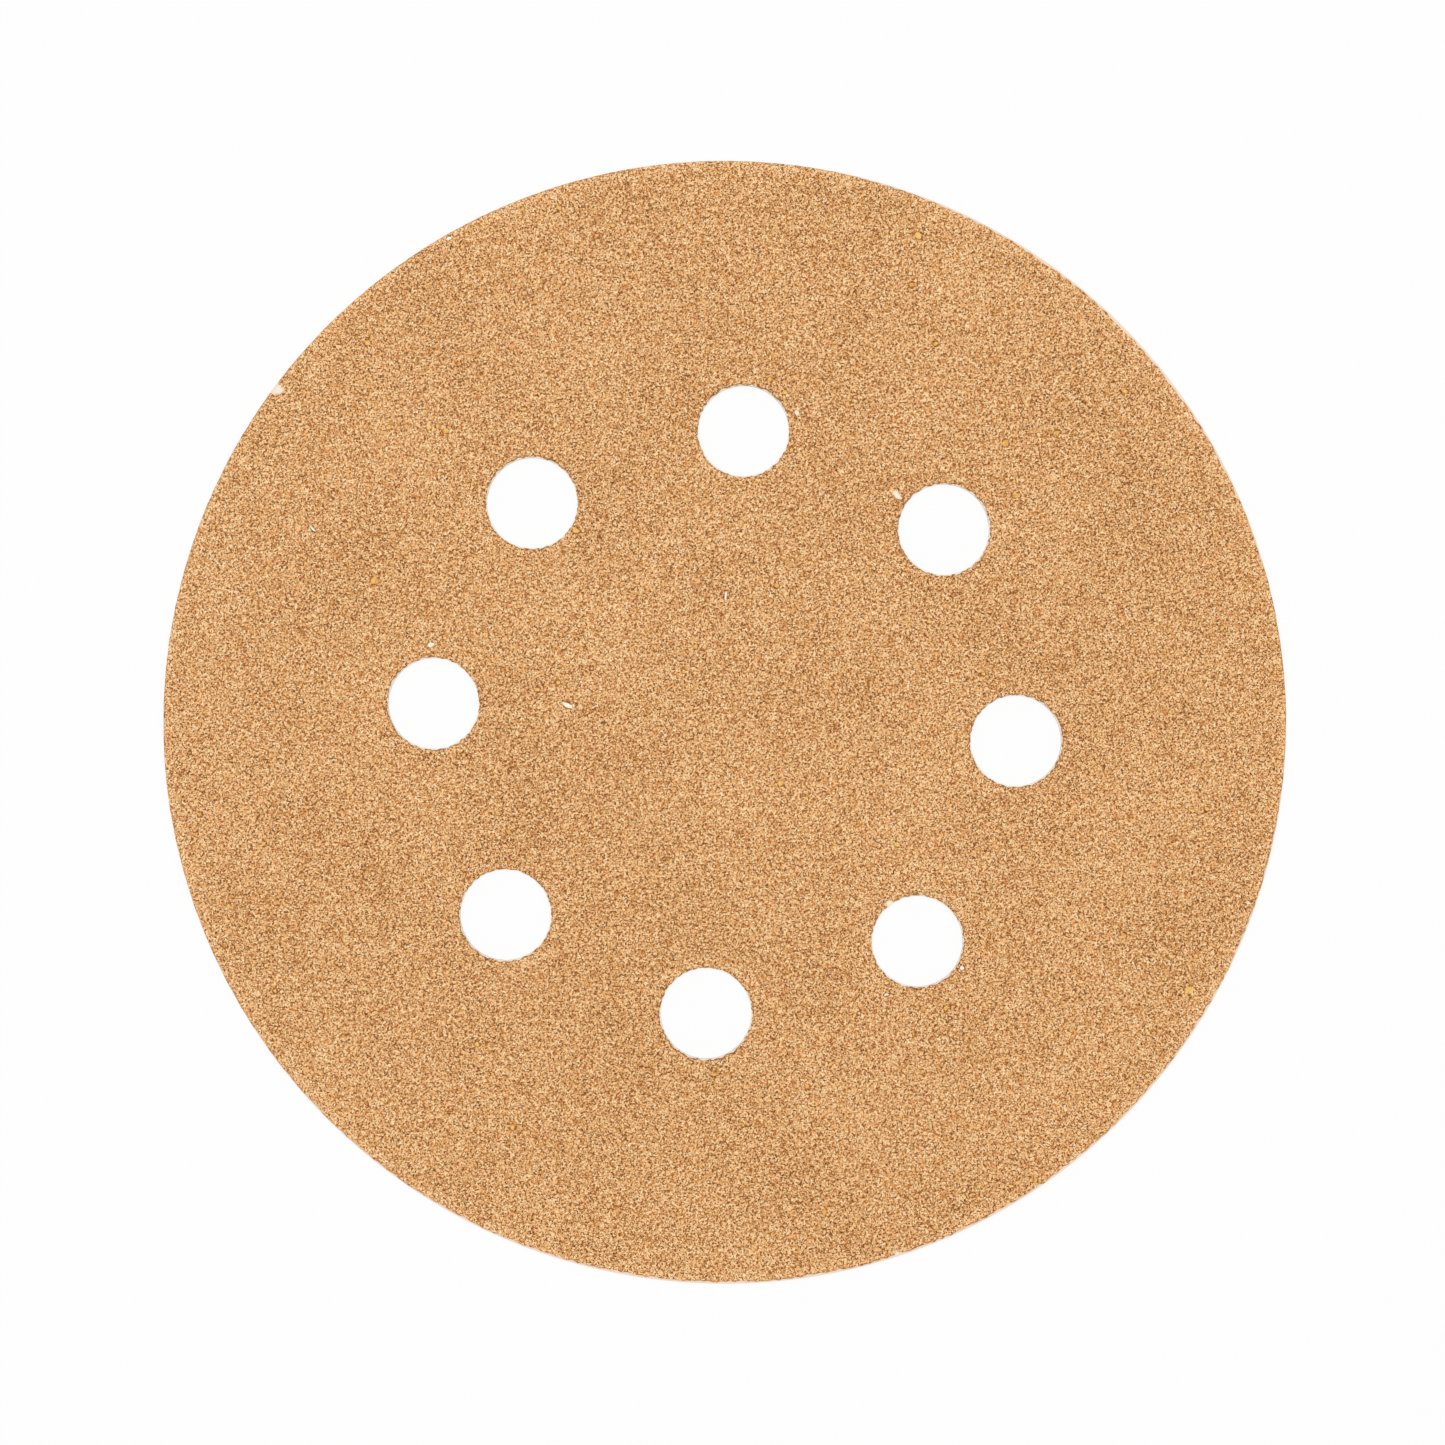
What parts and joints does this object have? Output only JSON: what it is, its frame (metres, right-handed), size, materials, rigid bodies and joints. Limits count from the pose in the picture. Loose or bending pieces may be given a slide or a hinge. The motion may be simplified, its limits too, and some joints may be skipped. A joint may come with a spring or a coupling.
{
  "type": "sanding disc",
  "caption": "Round hook-and-loop sanding disc with a ring of dust holes: grain coat, paper and loop fabric bonded face to face.",
  "frame": {"origin": "centre of the loop fabric's lower face, which is the face that goes on the pad", "axes": "+Z along the disc's axis, from the fabric side to the abrasive side; +X through the middle of a dust hole"},
  "size_m": [0.125, 0.125, 0.0015],
  "materials": {
    "loop_fabric": "brushed off-white loop pile",
    "paper": "matt cream paper",
    "grain": "rough tan mineral grain set in brown resin"
  },
  "bodies": {
    "root": {"loop_backing": "loop_fabric", "paper_backing": "paper", "abrasive_coat": "grain"}
  },
  "joints": []
}
